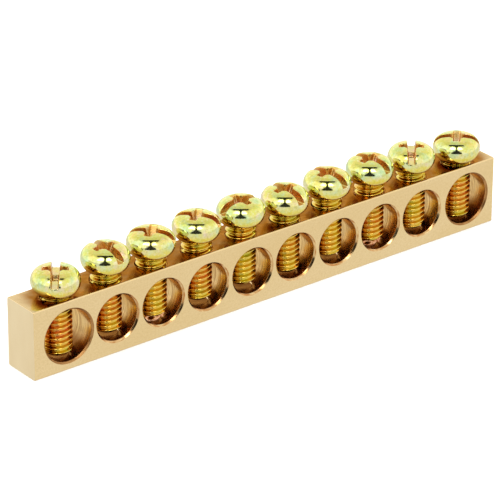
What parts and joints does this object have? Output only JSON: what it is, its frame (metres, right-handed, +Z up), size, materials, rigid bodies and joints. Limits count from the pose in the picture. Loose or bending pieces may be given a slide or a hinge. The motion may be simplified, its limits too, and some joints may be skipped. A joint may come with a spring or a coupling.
{
  "type": "earth terminal bar",
  "caption": "Rectangular brass bar with a row of round cross holes for wires and a slotted cross-drive clamp screw standing above each hole.",
  "frame": {"origin": "centre of the bar's underside", "axes": "+X along the bar, from the left end to the right end as seen from the front; +Z up, out of the screw heads; the wire holes run along Y, with the front at -Y"},
  "size_m": [0.0756, 0.0064, 0.0143],
  "materials": {
    "brass_bar": "satin, as drawn and milled, with bright hole edges",
    "zinc_screw": "glossy yellow zinc plating with faint green and pink tints"
  },
  "bodies": {
    "bar": {"bar": "brass_bar"},
    "screw_1": {"screw_1": "zinc_screw"},
    "screw_2": {"screw_2": "zinc_screw"},
    "screw_3": {"screw_3": "zinc_screw"},
    "screw_4": {"screw_4": "zinc_screw"},
    "screw_5": {"screw_5": "zinc_screw"},
    "screw_6": {"screw_6": "zinc_screw"},
    "screw_7": {"screw_7": "zinc_screw"},
    "screw_8": {"screw_8": "zinc_screw"},
    "screw_9": {"screw_9": "zinc_screw"},
    "screw_10": {"screw_10": "zinc_screw"}
  },
  "joints": [
    {"name": "screw_1_travel", "type": "slide", "parent": "bar", "child": "screw_1", "axis": [0, 0, 1], "range_m": [-0.00014, 0.00672]},
    {"name": "screw_2_travel", "type": "slide", "parent": "bar", "child": "screw_2", "axis": [0, 0, 1], "range_m": [-0.00041, 0.0056]},
    {"name": "screw_3_travel", "type": "slide", "parent": "bar", "child": "screw_3", "axis": [0, 0, 1], "range_m": [-0.00041, 0.00555]},
    {"name": "screw_4_travel", "type": "slide", "parent": "bar", "child": "screw_4", "axis": [0, 0, 1], "range_m": [-0.00057, 0.00542]},
    {"name": "screw_5_travel", "type": "slide", "parent": "bar", "child": "screw_5", "axis": [0, 0, 1], "range_m": [-0.00062, 0.00537]},
    {"name": "screw_6_travel", "type": "slide", "parent": "bar", "child": "screw_6", "axis": [0, 0, 1], "range_m": [-0.00016, 0.00582]},
    {"name": "screw_7_travel", "type": "slide", "parent": "bar", "child": "screw_7", "axis": [0, 0, 1], "range_m": [-0.00048, 0.00551]},
    {"name": "screw_8_travel", "type": "slide", "parent": "bar", "child": "screw_8", "axis": [0, 0, 1], "range_m": [-0.0005, 0.0055]},
    {"name": "screw_9_travel", "type": "slide", "parent": "bar", "child": "screw_9", "axis": [0, 0, 1], "range_m": [-0.00021, 0.00577]},
    {"name": "screw_10_travel", "type": "slide", "parent": "bar", "child": "screw_10", "axis": [0, 0, 1], "range_m": [-0.00004, 0.0068]}
  ]
}
